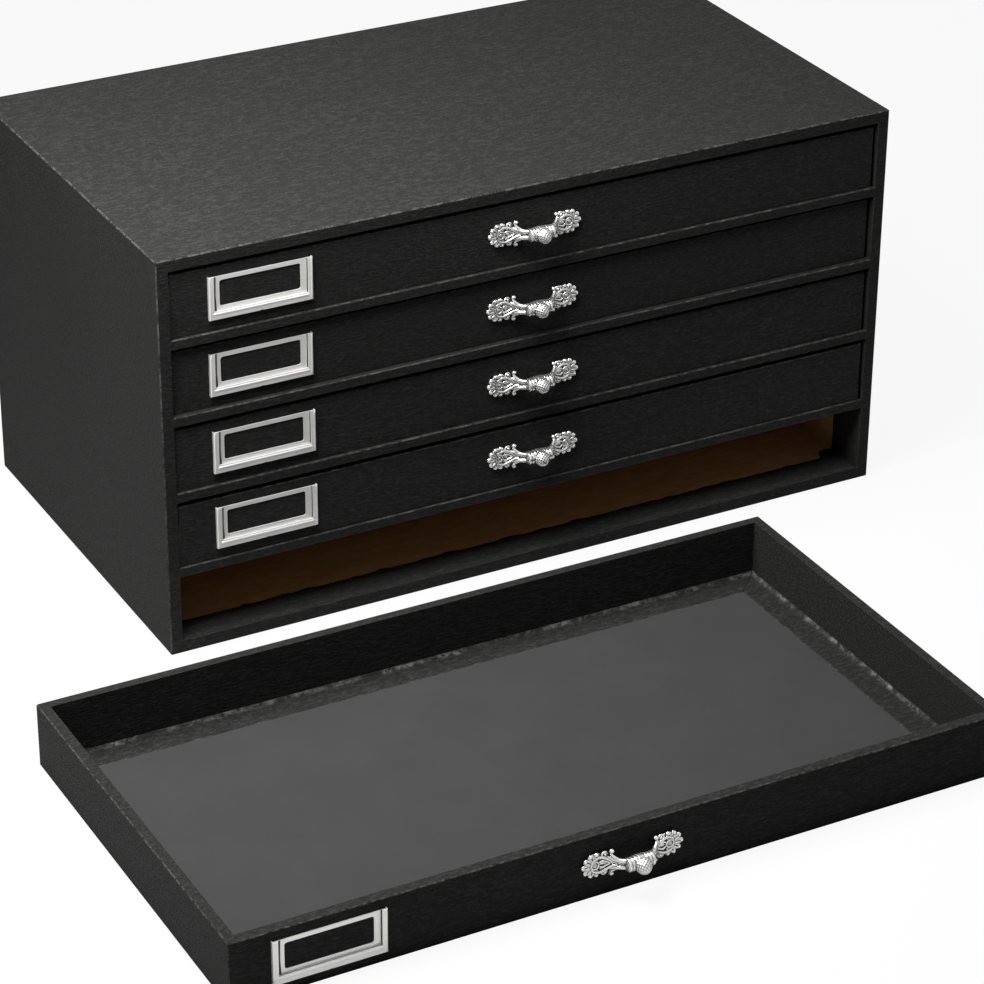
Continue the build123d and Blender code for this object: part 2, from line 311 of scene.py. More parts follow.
@dataclass(frozen=True)
class GrainedPaper:
    """The black covering paper: leather-like grain that runs along the drawers, its pale flecks partly
    painted glints, worn pale at the edges, and with a painted highlight along the floor strips' crease at the
    walls.
    """

    name: str = "grained_paper"
    dark: tuple[float, float, float] = (0.0130, 0.0129, 0.0126)
    # pale of the grain's flecks: partly the paper's own tone and partly painted glints of light on the grain
    pale: tuple[float, float, float] = (0.0340, 0.0336, 0.0328)
    # pale colour of rubbed paper, which also paints a highlight along the floor strips' crease at the walls
    rubbed_and_highlit_colour: tuple[float, float, float] = (0.13, 0.128, 0.124)
    roughness: float = 0.5
    specular: float = 0.01
    grain: float = 900.0
    grain_depth: float = 0.00040
    tooth: float = 1500.0
    tooth_depth: float = 0.00030

    def material(self) -> bpy.types.Material:
        """Build the material.

        Returns:
            The finished material.
        """
        shader = Shader(self.name, self.roughness)
        shader.surface.inputs["Specular IOR Level"].default_value = self.specular
        cloud = shader.band(shader.noise(9.0, 3.0), 0.25, 0.75)
        pebble = shader.noise(self.grain, 3.0, 0.55, (0.24, 0.6, 1.0))
        speckle = shader.noise(self.tooth, 3.0, 0.6, (0.4, 0.7, 1.0))
        streak = shader.sums("MULTIPLY", shader.band(pebble, 0.45, 0.8), 0.7)
        # The grain's pale flecks: partly the paper's own tone and partly painted glints of light on the
        # grain.
        fleck_and_glint = shader.sums("ADD", streak, shader.band(speckle, 0.5, 0.85))
        patchy = shader.sums("ADD", shader.sums("MULTIPLY", cloud, 0.35), 0.75)
        amount = shader.sums("MULTIPLY", patchy, fleck_and_glint)
        paper = shader.blend(amount, self.dark, self.pale)
        # Paler where the attribute says, broken up by noise: rubbed wear on edges, and a painted highlight
        # along the floor strips' crease at the walls.
        breakup = shader.band(shader.noise(260.0, 5.0, 0.7), 0.42, 0.62)
        wear_and_highlight_share = shader.sums("MULTIPLY", shader.attribute("worn"), breakup)
        shader.join(shader.blend(wear_and_highlight_share, paper, self.rubbed_and_highlit_colour), shader.surface.inputs["Base Color"])
        shader.bump(pebble, self.grain_depth, 0.8)
        shader.bump(speckle, self.tooth_depth, 0.7)
        return shader.material


@dataclass(frozen=True)
class RawBoard:
    """Golden fibreboard where the paper doesn't reach, with long fibres and dark specks."""

    name: str = "raw_board"
    dark: tuple[float, float, float] = (0.24, 0.125, 0.042)
    pale: tuple[float, float, float] = (0.39, 0.215, 0.080)
    speck: tuple[float, float, float] = (0.045, 0.022, 0.009)
    roughness: float = 0.8

    def material(self) -> bpy.types.Material:
        """Build the material.

        Returns:
            The finished material.
        """
        shader = Shader(self.name, self.roughness)
        fibre = shader.band(shader.noise(220.0, 6.0, 0.7, (0.3, 1.0, 1.0)), 0.3, 0.7)
        board = shader.blend(fibre, self.dark, self.pale)
        specks = shader.band(shader.noise(900.0, 3.0, 0.6, (0.5, 1.0, 1.0)), 0.63, 0.75)
        shader.join(shader.blend(specks, board, self.speck), shader.surface.inputs["Base Color"])
        shader.bump(fibre, 0.0001, 0.5)
        return shader.material


@dataclass(frozen=True)
class LiningCard:
    """The smooth grey card that lines a drawer's floor, with a faint mottle and a fine tooth."""

    name: str = "lining_card"
    dark: tuple[float, float, float] = (0.031, 0.031, 0.0315)
    pale: tuple[float, float, float] = (0.035, 0.035, 0.035)
    roughness: float = 0.75

    def material(self) -> bpy.types.Material:
        """Build the material.

        Returns:
            The finished material.
        """
        shader = Shader(self.name, self.roughness)
        shader.surface.inputs["Specular IOR Level"].default_value = 0.02
        mottle = shader.band(shader.noise(24.0, 6.0, 0.65), 0.3, 0.7)
        shader.join(shader.blend(mottle, self.dark, self.pale), shader.surface.inputs["Base Color"])
        shader.bump(shader.noise(1500.0, 3.0), 0.00003, 0.4)
        return shader.material


@dataclass(frozen=True)
class PlatedMetal:
    """Plated metal: pressed and satin for the label holders, cast and bright for the handles."""

    name: str
    bright: tuple[float, float, float]
    # tarnish colour, which also paints shade in the handles' hollows and the shadow in the label holders'
    # slots
    tarnish_and_shade: tuple[float, float, float]
    roughness: float
    metallic: float
    pits: float
    pit_depth: float
    shade_from: float
    shade_to: float
    stretch: tuple[float, float, float] = (1.0, 1.0, 1.0)

    def material(self) -> bpy.types.Material:
        """Build the material.

        Returns:
            The finished material.
        """
        shader = Shader(self.name, self.roughness, self.metallic)
        darkening = shader.band(shader.noise(self.pits, 4.0, 0.65, self.stretch), 0.45, 0.85)
        # Darkened from the ridges into the hollows by the recess attribute: on the cast handles partly the
        # tarnish of the antiqued casting and partly painted shade; the slot pieces take it fully as painted
        # shadow.
        hollow = shader.band(shader.attribute("recess"), self.shade_from, self.shade_to)
        stain_and_shade = shader.sums("MAXIMUM", shader.sums("MULTIPLY", darkening, 0.12), hollow)
        shader.join(shader.blend(stain_and_shade, self.bright, self.tarnish_and_shade), shader.surface.inputs["Base Color"])
        shader.bump(shader.noise(self.pits * 2.0, 3.0, 0.6, self.stretch), self.pit_depth, 0.6)
        return shader.material


@dataclass
class Finishes:
    """Every finish, built once."""

    paper: bpy.types.Material = field(default_factory=lambda: GrainedPaper().material())
    board: bpy.types.Material = field(default_factory=lambda: RawBoard().material())
    liner: bpy.types.Material = field(default_factory=lambda: LiningCard().material())
    nickel: bpy.types.Material = field(
        default_factory=lambda: PlatedMetal(
            "satin_nickel",
            bright=(0.72, 0.715, 0.695),
            tarnish_and_shade=(0.055, 0.053, 0.05),
            roughness=0.4,
            metallic=0.5,
            pits=700.0,
            pit_depth=0.00003,
            shade_from=0.0,
            shade_to=1.0,
            stretch=(0.12, 1.0, 1.0),
        ).material()
    )
    silver: bpy.types.Material = field(
        default_factory=lambda: PlatedMetal(
            "cast_silver",
            bright=(0.84, 0.84, 0.83),
            tarnish_and_shade=(0.012, 0.012, 0.012),
            roughness=0.26,
            metallic=0.9,
            pits=500.0,
            pit_depth=0.00003,
            shade_from=-0.55,
            shade_to=0.5,
        ).material()
    )

    def of(self, slot: Slot) -> bpy.types.Material:
        """Give the material of a slot.

        Args:
            slot: One of the record's slots.

        Returns:
            Its material.
        """
        return getattr(self, slot.name.lower())


def coat(piece: bpy.types.Object, material: bpy.types.Material) -> None:
    """Put one material on a piece.

    Args:
        piece: A mesh object.
        material: What it gets.
    """
    piece.data.materials.clear()
    piece.data.materials.append(material)


class Millimetres:
    """A closed mesh put together in millimetres: X along the drawer, Y out of its front as minus, Z up."""

    def __init__(self) -> None:
        """Start an empty mesh."""
        self.mesh = bmesh.new()

    def rings(self, rings: list[list[Vector]]) -> None:
        """Close a skin over rings of points, with a cap at each end.

        Args:
            rings: Rings of as many points each, in order along the form.
        """
        loops = [[self.mesh.verts.new(point) for point in ring] for ring in rings]
        for near, far in zip(loops, loops[1:]):
            for here in range(len(near)):
                after = (here + 1) % len(near)
                self.mesh.faces.new((near[here], near[after], far[after], far[here]))
        self.mesh.faces.new(list(reversed(loops[0])))
        self.mesh.faces.new(loops[-1])

    def stroke(self, beads: list[tuple[float, float, float, float]], steps: int = 6, sides: int = 12) -> None:
        """Lay a smooth round bar through beads, with round ends.

        Args:
            beads: X, height out from the front, Z and radius of each bead.
            steps: How many rings lie between two beads.
            sides: How many points a ring has.
        """
        course = [(Vector((x, -out, z)), radius) for x, out, z, radius in beads]
        points: list[tuple[Vector, float]] = []
        for index in range(len(course) - 1):
            before = course[max(index - 1, 0)]
            near, far = course[index], course[index + 1]
            after = course[min(index + 2, len(course) - 1)]
            for step in range(steps):
                points.append(self.between(before, near, far, after, step / steps))
        points.append(course[-1])
        start = (points[1][0] - points[0][0]).normalized()
        stop = (points[-1][0] - points[-2][0]).normalized()
        capped = [self.cap(points[0], -start, turn) for turn in (80.0, 55.0, 28.0)]
        capped += points
        capped += [self.cap(points[-1], stop, turn) for turn in (28.0, 55.0, 80.0)]
        side = start.orthogonal().normalized()
        rings = []
        for index, (middle, radius) in enumerate(capped):
            ahead = capped[min(index + 1, len(capped) - 1)][0] - capped[max(index - 1, 0)][0]
            ahead.normalize()
            side = (side - ahead * side.dot(ahead)).normalized()
            other = ahead.cross(side)
            turns = [math.tau * corner / sides for corner in range(sides)]
            arms = [side * math.cos(turn) + other * math.sin(turn) for turn in turns]
            rings.append([middle + arm * radius for arm in arms])
        self.rings(rings)

    @staticmethod
    def between(
        before: tuple[Vector, float],
        near: tuple[Vector, float],
        far: tuple[Vector, float],
        after: tuple[Vector, float],
        share: float,
    ) -> tuple[Vector, float]:
        """Find a place on the smooth curve between two beads.

        Args:
            before: The bead before the two.
            near: The first of the two.
            far: The second of the two.
            after: The bead after them.
            share: How far along, from 0 to 1.

        Returns:
            The point and its radius.
        """
        square, cube = share * share, share * share * share
        point = (
            near[0] * (2 * cube - 3 * square + 1)
            + far[0] * (3 * square - 2 * cube)
            + (far[0] - before[0]) * 0.5 * (cube - 2 * square + share)
            + (after[0] - near[0]) * 0.5 * (cube - square)
        )
        return point, near[1] + (far[1] - near[1]) * share

    @staticmethod
    def cap(end: tuple[Vector, float], outward: Vector, turn: float) -> tuple[Vector, float]:
        """Find one ring of a round end.

        Args:
            end: The last bead.
            outward: The way the bar points there.
            turn: Degrees round the end, from its side.

        Returns:
            The ring's middle and radius.
        """
        angle = math.radians(turn)
        return end[0] + outward * end[1] * math.sin(angle), end[1] * math.cos(angle)

    def turned(
        self,
        start: Vector,
        along: Vector,
        profile: list[tuple[float, float]],
        relief: Callable[[float, float], float] | None = None,
        sides: int = 48,
    ) -> None:
        """Turn a profile round an axis.

        Args:
            start: Where the axis starts.
            along: The axis, of length 1.
            profile: Distance along the axis, and radius.
            relief: What to add to the radius, from the distance along and the angle.
            sides: How many points a ring has.
        """
        side = along.orthogonal().normalized()
        other = along.cross(side)
        rings = []
        for distance, radius in profile:
            ring = []
            for corner in range(sides):
                turn = math.tau * corner / sides
                reach = radius + (relief(distance, turn) if relief else 0.0)
                arm = side * math.cos(turn) + other * math.sin(turn)
                ring.append(start + along * distance + arm * reach)
            rings.append(ring)
        self.rings(rings)

    def fuse(self, name: str, voxel: float, smoothing: int) -> bpy.types.Mesh:
        """Melt everything into one skin, as a casting is, flat where it sits on the drawer.

        Args:
            name: The mesh's name.
            voxel: The size of the smallest detail kept, in millimetres.
            smoothing: How often the skin is smoothed.

        Returns:
            The mesh, in metres, with a recess attribute that is 1 deep in a hollow.
        """
        bmesh.ops.recalc_face_normals(self.mesh, faces=self.mesh.faces)
        loose = bpy.data.meshes.new(name + "_loose")
        self.mesh.to_mesh(loose)
        body = bpy.data.objects.new(name + "_loose", loose)
        bpy.context.scene.collection.objects.link(body)
        remesh = body.modifiers.new("fuse", "REMESH")
        remesh.mode = "VOXEL"
        remesh.voxel_size = voxel
        soften = body.modifiers.new("soften", "SMOOTH")
        soften.iterations = smoothing
        soften.factor = 0.5
        bpy.context.view_layer.update()
        mesh = bpy.data.meshes.new_from_object(body.evaluated_get(bpy.context.evaluated_depsgraph_get()))
        mesh.name = name
        bpy.data.objects.remove(body)
        bpy.data.meshes.remove(loose)
        flat = bmesh.new()
        flat.from_mesh(mesh)
        everything = flat.verts[:] + flat.edges[:] + flat.faces[:]
        seat = Vector((0.0, -SEAT, 0.0))
        cut = bmesh.ops.bisect_plane(
            flat, geom=everything, plane_co=seat, plane_no=(0, 1, 0), clear_outer=True
        )
        rim = [edge for edge in cut["geom_cut"] if isinstance(edge, bmesh.types.BMEdge)]
        bmesh.ops.edgeloop_fill(flat, edges=rim)
        flat.to_mesh(mesh)
        flat.free()
        self.mark_recesses(mesh)
        mesh.transform(Matrix.Scale(0.001, 4))
        mesh.shade_smooth()
        return mesh

    @staticmethod
    def mark_recesses(mesh: bpy.types.Mesh, rounds: int = 12, depth: float = 0.2) -> None:
        """Find the hollows of a mesh in millimetres and write them to its recess attribute.

        Args:
            mesh: The mesh.
            rounds: How far the comparison skin is smoothed.
            depth: The depth, in millimetres, that counts as fully recessed.
        """
        count = len(mesh.vertices)
        places = np.zeros(count * 3)
        mesh.vertices.foreach_get("co", places)
        places = places.reshape(-1, 3)
        normals = np.zeros(count * 3)
        mesh.vertices.foreach_get("normal", normals)
        normals = normals.reshape(-1, 3)
        ends = np.zeros(len(mesh.edges) * 2, np.int64)
        mesh.edges.foreach_get("vertices", ends)
        ends = ends.reshape(-1, 2)
        neighbours = np.bincount(ends.ravel(), minlength=count)[:, None].clip(1)
        smooth = places.copy()
        for _ in range(rounds):
            total = np.zeros_like(smooth)
            np.add.at(total, ends[:, 0], smooth[ends[:, 1]])
            np.add.at(total, ends[:, 1], smooth[ends[:, 0]])
            smooth = smooth * 0.4 + total / neighbours * 0.6
        hollow = ((smooth - places) * normals).sum(1) / depth
        attribute = mesh.attributes.new("recess", "FLOAT", "POINT")
        attribute.data.foreach_set("value", hollow.clip(-1.0, 1.0).astype(np.float32))


@dataclass(frozen=True)
class CastHandle:
    """The bow handle, in millimetres round its middle: two palmettes, flowing straps, collars and a bud."""

    leaf_x: float = 22.0
    petal_turns: tuple[float, ...] = (0.0, 31.0, 62.0, 94.0)
    petal_reach: tuple[float, ...] = (8.9, 8.5, 8.0, 7.6)
    petal_half: float = 0.95
    rosette_reach: float = 2.2
    scroll: tuple[float, float] = (13.4, 6.8)
    scroll_ball: float = 1.3
    bow_lift: float = 9.4
    bud_lift: float = 11.2
    bud_rise: float = 1.8
    bud_droop: float = 40.0
    pin_x: float = 22.6
    voxel: float = 0.2

    def petal(self, cast: Millimetres, side: int, turn: float, reach: float) -> None:
        """Lay one petal: a hairpin of raised rim that swells to a blunt bead at its end.

        Args:
            cast: What it is added to.
            side: -1 for the left palmette and 1 for the right one.
            turn: Degrees from the palmette's outer tip.
            reach: From the palmette's middle to the petal's end.
        """
        angle = math.radians(turn)
        ahead = Vector((side * math.cos(angle), math.sin(angle)))
        aside = Vector((-ahead.y, ahead.x))
        middle = Vector((side * self.leaf_x, 0.0))
        for way in (-1, 1):
            rim = []
            for far, off, out, radius in (
                (2.6, 0.45, 1.5, 0.6),
                (4.4, 0.85, 1.7, 0.7),
                (reach - 2.6, 1.0, 1.7, 0.8),
                (reach - 1.2, 0.75, 1.5, 0.85),
            ):
                spot = middle + ahead * far + aside * (off * self.petal_half * way)
                rim.append((spot.x, out, spot.y, radius))
            cast.stroke(rim)
        bead = middle + ahead * (reach - 1.3)
        cast.stroke([(bead.x, 1.4, bead.y, 1.2), (bead.x, 1.6, bead.y, 1.2)], steps=2)

    def palmette(self, cast: Millimetres, side: int) -> None:
        """Lay the petals, the web under them, the rosette and the volutes of one palmette.

        Args:
            cast: What it is added to.
            side: -1 for the left one and 1 for the right one.
        """
        web = [(-0.2, 6.1), (0.3, 6.4), (0.75, 6.1), (1.0, 4.8)]
        cast.turned(Vector((side * self.leaf_x, 0, 0)), Vector((0, -1, 0)), web)
        for turn, reach in zip(self.petal_turns, self.petal_reach):
            for way in (-1, 1) if turn else (1,):
                self.petal(cast, side, way * turn, reach)
        rosette = []
        for step in range(11):
            angle = math.radians(36.0 * step)
            x = side * (self.leaf_x + 0.6) + math.cos(angle) * self.rosette_reach
            rosette.append((x, 2.1, math.sin(angle) * self.rosette_reach, 0.55))
        cast.stroke(rosette, steps=3)
        for way in (-1, 1):
            heart = [
                (self.leaf_x + 2.6, 1.9, 0.5, 0.5),
                (self.leaf_x + 2.0, 2.1, 3.0, 0.6),
                (self.leaf_x - 0.8, 2.3, 4.4, 0.75),
                (18.6, 2.5, 4.3, 0.85),
                (15.8, 3.1, 2.9, 0.8),
                (13.2, 4.4, 1.2, 0.7),
                (11.6, 5.6, 0.7, 0.6),
            ]
            cast.stroke([(side * x, out, way * z, radius) for x, out, z, radius in heart])
            leaf = [
                (20.2, 1.8, 1.0, 0.5),
                (18.4, 2.1, 2.0, 0.65),
                (16.2, 2.5, 1.2, 0.5),
                (14.6, 3.2, 0.4, 0.4),
            ]
            cast.stroke([(side * x, out, way * z, radius) for x, out, z, radius in leaf])
            volute = []
            for step in range(15):
                angle = math.radians(30.0 * step)
                reach = 1.9 - 0.1 * step
                x = 17.2 - math.cos(angle) * reach
                z = way * (5.2 + math.sin(angle) * reach)
                volute.append((side * x, 1.6 + 0.06 * step, z, 0.6))
            cast.stroke(volute, steps=2)

    def strap(self, cast: Millimetres, side: int) -> None:
        """Lay the two bars that flow from a palmette up to the collars, with the web between and the scrolls.

        Args:
            cast: What it is added to.
            side: -1 for the left one and 1 for the right one.
        """
        web = [(19.0, 0.4, 0.0, 1.5), (15.5, 1.0, 0.0, 1.6), (12.0, 3.3, 0.0, 1.3), (6.6, 7.9, 0.0, 1.3)]
        cast.stroke([(side * x, out, z, radius) for x, out, z, radius in web])
        for way in (-1, 1):
            bar = [
                (18.8, 1.1, 3.2, 0.8),
                (16.0, 2.0, 3.3, 1.0),
                (12.6, 4.4, 2.5, 1.2),
                (9.8, 6.8, 2.0, 1.35),
                (6.6, 8.9, 1.9, 1.35),
            ]
            cast.stroke([(side * x, out, way * z, radius) for x, out, z, radius in bar])
            x, z = self.scroll
            curl = [
                (10.6, 6.2, 2.6, 0.8),
                (12.4, 4.6, 3.7, 0.85),
                (13.6, 3.4, 5.1, 0.8),
                (x + 0.1, 2.9, z - 0.3, 0.85),
            ]
            cast.stroke([(side * a, out, way * b, radius) for a, out, b, radius in curl])
            ball = [(x, 2.8), (x - 0.2, 3.0)]
            cast.stroke([(side * a, out, way * z, self.scroll_ball) for a, out in ball], steps=2)

    def collars(self, cast: Millimetres) -> None:
        """Turn the row of ring collars in the middle of the bow.

        Args:
            cast: What they are added to.
        """
        bands = ((0.0, 1.9, 4.4), (3.1, 0.75, 4.2), (5.0, 0.75, 3.95), (6.9, 0.8, 3.95))
        profile = [(-8.2, 2.9)]
        for middle, half, radius in sorted({(way * a, b, c) for a, b, c in bands for way in (-1, 1)}):
            start, stop = middle - half, middle + half
            profile += [(start - 0.12, 3.3), (start, radius - 0.35), (start + 0.3, radius)]
            profile += [(stop - 0.3, radius), (stop, radius - 0.35), (stop + 0.12, 3.3)]
        profile.append((8.2, 2.9))
        cast.turned(Vector((0, -self.bow_lift, 0)), Vector((1, 0, 0)), profile)

    def bud(self, cast: Millimetres) -> None:
        """Turn the hanging bud, with its rows of seeds.

        Args:
            cast: What it is added to.
        """
        droop = math.radians(self.bud_droop)
        along = Vector((0, -math.cos(droop), -math.sin(droop)))
        shape = [
            (-0.5, 3.2), (0.5, 3.9), (1.5, 4.35), (2.5, 4.55), (3.6, 4.5),
            (4.7, 4.15), (5.8, 3.5), (6.8, 2.6), (7.5, 1.6), (7.9, 0.6),
        ]
        fine = [
            (a + (b - a) * step / 4, c + (d - c) * step / 4)
            for (a, c), (b, d) in zip(shape, shape[1:])
            for step in range(5)
        ]

        def seeds(distance: float, turn: float) -> float:
            """Raise a seed where two spirals of grooves leave one."""
            first = math.cos(12 * turn + distance * 3.4)
            second = math.cos(12 * turn - distance * 3.4)
            return 0.13 * (first + second)

        cast.turned(Vector((0, -self.bud_lift, self.bud_rise)), along, fine, seeds, sides=90)

    def mesh(self) -> bpy.types.Mesh:
        """Cast the whole handle.

        Returns:
            The mesh, in metres round the handle's middle.
        """
        cast = Millimetres()
        for side in (-1, 1):
            self.palmette(cast, side)
            self.strap(cast, side)
        self.collars(cast)
        self.bud(cast)
        return cast.fuse("cast_handle", self.voxel, 2)

    def pin_heads(self) -> bpy.types.Mesh:
        """Turn the two domed pin heads.

        Returns:
            The mesh, in metres round the handle's middle.
        """
        heads = Millimetres()
        dome = [
            (0.6, 0.7), (1.6, 0.75), (1.75, 1.5), (2.05, 1.5),
            (2.4, 1.3), (2.65, 0.95), (2.8, 0.5), (2.84, 0.12),
        ]
        for side in (-1, 1):
            heads.turned(Vector((side * self.pin_x, 0, 0)), Vector((0, -1, 0)), dome, sides=32)
        bmesh.ops.recalc_face_normals(heads.mesh, faces=heads.mesh.faces)
        mesh = bpy.data.meshes.new("pin_heads")
        heads.mesh.to_mesh(mesh)
        mesh.transform(Matrix.Scale(0.001, 4))
        mesh.shade_smooth()
        return mesh


@dataclass
class WrinkledPaper:
    """A strip of paper laid by hand on a board, slightly wrinkled, as a closed skin. Sizes in millimetres."""

    step: float = 1.6
    wrinkle: float = 0.16
    long: float = 26.0
    short: float = 3.2
    joint: float = 0.02  # how far a strip's end stays back from its neighbour

    def lift(self, x: float, y: float) -> float:
        """Find the height of the wrinkles at a place.

        Args:
            x: Millimetres along X.
            y: Millimetres along Y.

        Returns:
            Millimetres above the strip's own height.
        """
        broad = noise.noise(Vector((x / self.long, y / self.long, 3.7)))
        fine = noise.noise(Vector((x / self.short, y / self.short, 9.1)))
        return self.wrinkle * (0.55 * broad + 0.6 * fine)

    def strip(
        self,
        shape: bmesh.types.BMesh,
        start: Vector,
        stop: Vector,
        inward: Vector,
        profile: list[tuple[float, float, float]],
        mitre: tuple[float, float],
        ragged: float = 0.0,
    ) -> None:
        """Lay one strip along a line, with its ends cut on the slant.

        Args:
            shape: What it is added to, in millimetres.
            start: Where the line starts.
            stop: Where it ends.
            inward: The way the strip reaches from the line, of length 1.
            profile: Reach from the line, height, and how pale it is, across the strip: rubbed wear at edges,
                and a painted highlight on the floor strips' crease at the walls.
            mitre: How far each end draws in for each millimetre of reach.
            ragged: How uneven the far edge is.
        """
        worn = shape.verts.layers.float.get("worn") or shape.verts.layers.float.new("worn")
        along = (stop - start).normalized()
        length = (stop - start).length
        count = max(2, int(length / self.step))
        upper, lower = [], []
        for index in range(count + 1):
            row, under = [], []
            for reach, height, rub_and_highlight in profile:
                spread = reach
                if ragged and reach == profile[-1][0]:
                    spread += ragged * noise.noise(Vector((index * self.step / 9.0, start.z, 1.3)))
                    spread += ragged * 0.35 * noise.noise(Vector((index * self.step / 2.5, start.z, 5.3)))
                near, far = self.joint + spread * mitre[0], length - self.joint - spread * mitre[1]
                place = start + along * (near + (far - near) * index / count) + inward * spread
                rise = height + self.lift(place.x, place.y)
                top = shape.verts.new(place + Vector((0, 0, max(rise, 0.06))))
                # The pale band is broken along its length; on the floor strips' crease at the walls it paints
                # a highlight.
                broken = 0.5 + 1.1 * noise.noise(Vector((place.x / 7.0, place.y / 7.0, 2.2)))
                top[worn] = min(max(rub_and_highlight * broken, 0.0), 1.0)
                row.append(top)
                under.append(shape.verts.new(place + Vector((0, 0, -0.05))))
            upper.append(row)
            lower.append(under)
        last = len(profile) - 1
        for index in range(count):
            high, deep = upper[index], lower[index]
            next_high, next_deep = upper[index + 1], lower[index + 1]
            for across in range(last):
                shape.faces.new((high[across], next_high[across], next_high[across + 1], high[across + 1]))
                shape.faces.new((deep[across + 1], next_deep[across + 1], next_deep[across], deep[across]))
            for across, order in ((0, 1), (last, -1)):
                quad = [high[across], deep[across], next_deep[across], next_high[across]]
                shape.faces.new(quad[::order])
        for index, order in ((0, -1), (count, 1)):
            high, deep = upper[index], lower[index]
            for across in range(last):
                quad = [high[across], deep[across], deep[across + 1], high[across + 1]]
                shape.faces.new(quad[::order])

    @staticmethod
    def finished(shape: bmesh.types.BMesh, name: str) -> bpy.types.Mesh:
        """Turn a strip in millimetres into a mesh in metres.

        Args:
            shape: The strips.
            name: The mesh's name.

        Returns:
            The mesh.
        """
        bmesh.ops.recalc_face_normals(shape, faces=shape.faces)
        mesh = bpy.data.meshes.new(name)
        shape.to_mesh(mesh)
        shape.free()
        mesh.transform(Matrix.Scale(0.001, 4))
        mesh.shade_smooth()
        return mesh


@dataclass
class Cabinet:
    """The covered case with its shelves and its one empty bay. Sizes in millimetres."""

    nodes: dict[str, bpy.types.Object]
    finishes: Finishes
    boards: tuple[str, ...] = (
        "left_board", "right_board", "top_board", "bottom_board", "back_board",
        "shelf_1", "shelf_2", "shelf_3", "shelf_4",
    )
    papers: tuple[str, ...] = ("case_cover", "back_cover", "base_cover", "shelf_wraps")
    rounding: float = 0.15
    turn_in: float = 21.0
    ragged: float = 2.4
    gather: float = 9.0
    fold: float = 26.0  # how far the gathered paper reaches along the bay from its right corner

    def dress(self) -> None:
        """Give the boards their finish, and the papers softer edges."""
        for name in self.boards:
            coat(self.nodes[name], self.finishes.of(Slot.BOARD))
        for name in self.papers:
            coat(self.nodes[name], self.finishes.of(Slot.PAPER))
            mesh = softened(self.nodes[name], name + "_skin", self.rounding, 2)
            piece = made(mesh, name + "_skin", Vector(), "cabinet")
            coat(piece, self.finishes.of(Slot.PAPER))
            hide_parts(name)
        log.info("cabinet: %d boards, %d papers", len(self.boards), len(self.papers))

    def torn_turn_in(self) -> None:
        """Lay the uneven edge of the paper that is turned in over the floor of the empty bay."""
        board_low, board_high = (corner * 1000.0 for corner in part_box("bottom_board"))
        paper_low, _ = (corner * 1000.0 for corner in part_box("case_cover"))
        top, front = board_high.z + 0.4, paper_low.y + 0.4
        left, right = board_low.x + 0.6, board_high.x - 0.6
        shape = bmesh.new()
        profile = [(0.8, 0.02, 0.15), (6.0, 0.08, 0.0), (12.0, 0.1, 0.0), (17.0, 0.1, 0.0)]
        profile.append((self.turn_in, 0.1, 0.2))
        paper = WrinkledPaper()
        forward = Vector((0, 1, 0))
        start, stop = Vector((left, front, top)), Vector((right, front, top))
        paper.strip(shape, start, stop, forward, profile, (0, 0), self.ragged)
        corner = [(12.0, 0.14, 0.0), (20.0, 0.2, 0.1), (self.turn_in + self.gather, 0.12, 0.4)]
        start = Vector((right - self.fold, front, top))
        paper.strip(shape, start, stop, forward, corner, (0.55, 0.0), 1.5)
        mesh = WrinkledPaper.finished(shape, "torn_turn_in")
        piece = made(mesh, "torn_turn_in", Vector(), "cabinet")
        coat(piece, self.finishes.of(Slot.PAPER))
        log.info("torn turn-in laid")


